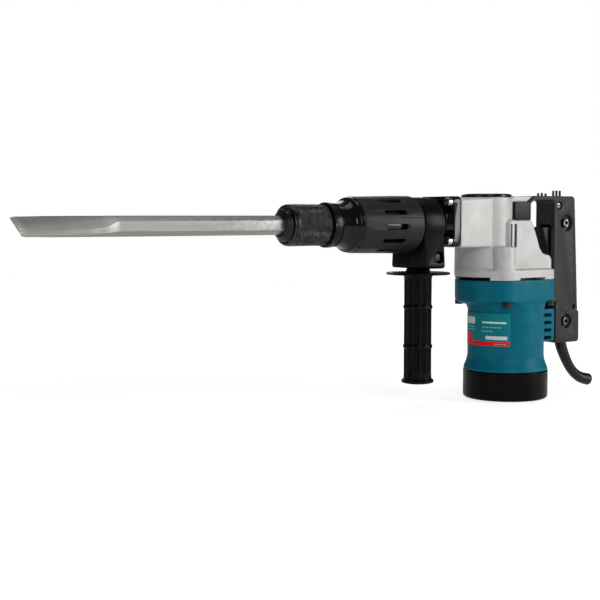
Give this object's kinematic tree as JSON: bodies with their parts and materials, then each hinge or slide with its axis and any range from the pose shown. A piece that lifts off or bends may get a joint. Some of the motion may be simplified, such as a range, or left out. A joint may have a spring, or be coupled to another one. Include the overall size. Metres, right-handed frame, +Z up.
{
  "type": "electric demolition hammer",
  "caption": "Electric demolition hammer with a hex flat chisel, an upright motor, a rear D-handle with trigger and a turning side handle.",
  "frame": {"origin": "centre of the flat underside of the motor's base cap", "axes": "+Z up along the motor axis; the tool axis is parallel to X, 197.5 mm above the origin, and the chisel points along -X; Y = 0 is the middle plane"},
  "size_m": [0.7234, 0.096, 0.2313],
  "materials": {
    "base_plastic": "semi gloss black",
    "black_oxide": "black oxide",
    "black_plastic": "satin black",
    "carbon": "carbon",
    "cast_aluminium": "satin casting",
    "chisel_steel": "forged and ground steel",
    "copper": "copper",
    "cover_plastic": "matte dark grey-green",
    "gloss_black": "gloss black enamel",
    "grip_rubber": "satin black moulding",
    "handle_plastic": "fine grained dark grey",
    "label": "printed label",
    "rubber": "satin black",
    "steel": "ground steel",
    "teal": "satin teal"
  },
  "bodies": {
    "tool": {"tool_holder": "black_oxide", "nose_seal": "rubber", "stop_ring": "steel", "barrel": "gloss_black", "barrel_screw_1": "steel", "barrel_screw_2": "steel", "barrel_screw_3": "steel", "barrel_screw_4": "steel", "barrel_cover": "cover_plastic", "cylinder_liner": "steel", "bolt_guide": "steel", "impact_damper": "rubber", "crank_bearing_lower": "steel", "crank_bearing_upper": "steel", "crank_housing": "cast_aluminium", "crank_cap": "gloss_black", "motor_housing": "teal", "motor_screw_1": "steel", "motor_screw_2": "steel", "motor_screw_3": "steel", "motor_screw_4": "steel", "base_cap": "base_plastic", "bearing_plate": "cast_aluminium", "stator_core": "steel", "armature_bearing_lower": "steel", "armature_bearing_upper": "steel", "carbon_brush_1": "carbon", "carbon_brush_2": "carbon", "brush_holder_1": "black_plastic", "brush_holder_2": "black_plastic", "nameplate": "label", "handle_left": "handle_plastic", "handle_right": "handle_plastic", "handle_bolt_lower": "steel", "handle_bolt_upper": "steel", "trigger_pin": "steel", "switch_body": "black_plastic", "cord_guard": "rubber"},
    "chisel": {"flat_chisel": "chisel_steel"},
    "lock_sleeve": {"lock_sleeve": "black_oxide"},
    "lock_roller": {"lock_roller": "steel"},
    "side_handle": {"clamp": "grip_rubber", "clamp_bolt": "steel", "grip_stud": "steel", "side_grip": "grip_rubber"},
    "trigger": {"trigger": "black_plastic"},
    "armature": {"armature_shaft": "steel", "armature_core": "steel", "commutator": "copper", "cooling_fan": "black_plastic"},
    "crank": {"crankshaft": "steel", "drive_gear": "steel"},
    "piston": {"piston": "steel", "piston_seal": "rubber", "wrist_pin": "steel"},
    "con_rod": {"connecting_rod": "steel"},
    "striker": {"striker": "steel", "striker_seal": "rubber"},
    "impact_bolt": {"impact_bolt": "steel"}
  },
  "joints": [
    {"name": "chisel_stroke", "type": "slide", "parent": "tool", "child": "chisel", "axis": [-1, 0, 0], "range_m": [0, 0.012]},
    {"name": "lock_sleeve_turn", "type": "hinge", "parent": "tool", "child": "lock_sleeve", "pos_m": [-0.28, 0, 0.1975], "axis": [1, 0, 0], "range_deg": [0, 60]},
    {"name": "lock_roller_lift", "type": "slide", "parent": "tool", "child": "lock_roller", "axis": [0, 0, 1], "range_m": [0, 0.0035]},
    {"name": "side_handle_swing", "type": "hinge", "parent": "tool", "child": "side_handle", "pos_m": [-0.1307, 0, 0.1975], "axis": [1, 0, 0], "continuous": true},
    {"name": "trigger_press", "type": "hinge", "parent": "tool", "child": "trigger", "pos_m": [0.069, 0, 0.1915], "axis": [0, -1, 0], "range_deg": [0, 8], "stiffness_Nm_per_rad": 1, "springref_deg": -2.86},
    {"name": "armature_spin", "type": "hinge", "parent": "tool", "child": "armature", "pos_m": [0, 0, 0.09], "axis": [0, 0, 1], "continuous": true},
    {"name": "crankshaft_spin", "type": "hinge", "parent": "tool", "child": "crank", "pos_m": [-0.032, 0, 0.165], "axis": [0, 0, 1], "continuous": true},
    {"name": "piston_stroke", "type": "slide", "parent": "tool", "child": "piston", "axis": [1, 0, 0], "range_m": [0, 0.022]},
    {"name": "rod_swing", "type": "hinge", "parent": "piston", "child": "con_rod", "pos_m": [-0.089, 0, 0.1975], "axis": [0, 0, 1], "range_deg": [-13.8, 13.8]},
    {"name": "striker_stroke", "type": "slide", "parent": "tool", "child": "striker", "axis": [-1, 0, 0], "range_m": [0, 0.014]},
    {"name": "impact_bolt_stroke", "type": "slide", "parent": "tool", "child": "impact_bolt", "axis": [-1, 0, 0], "range_m": [0, 0.004]}
  ],
  "couplings": [
    {"joint": "crankshaft_spin", "follows": "armature_spin", "ratio": -0.18518},
    {"joint": "lock_roller_lift", "follows": "lock_sleeve_turn", "m_per_rad": 0.003247}
  ]
}
